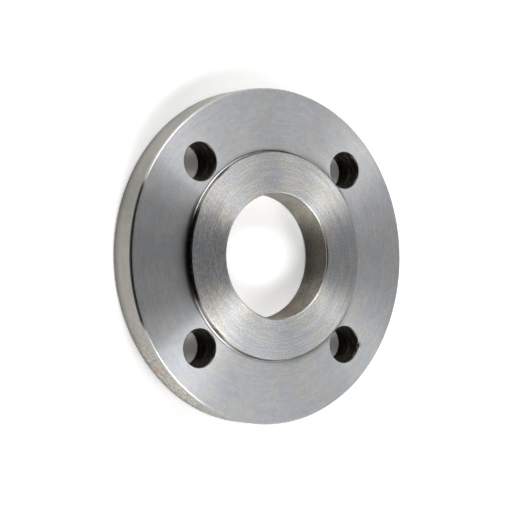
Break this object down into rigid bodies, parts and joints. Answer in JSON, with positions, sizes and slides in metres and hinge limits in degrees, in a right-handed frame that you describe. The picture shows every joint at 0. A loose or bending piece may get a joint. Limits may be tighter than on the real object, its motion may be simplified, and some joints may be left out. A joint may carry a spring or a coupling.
{
  "type": "weld flange",
  "caption": "Flat steel plate flange with a raised round sealing face, a chamfered bore that slips over a pipe and is welded to it, and a circle of bolt holes.",
  "frame": {"origin": "centre of the pipe bore on the flat back face", "axes": "+Z along the bore axis, out of the sealing face; the bolt holes stand astride X and Y"},
  "size_m": [0.165, 0.165, 0.019],
  "materials": {
    "turned_steel": "bare carbon steel, turned in concentric grooves, with slight rust at the step and rim"
  },
  "bodies": {
    "root": {"flange": "turned_steel"}
  },
  "joints": []
}
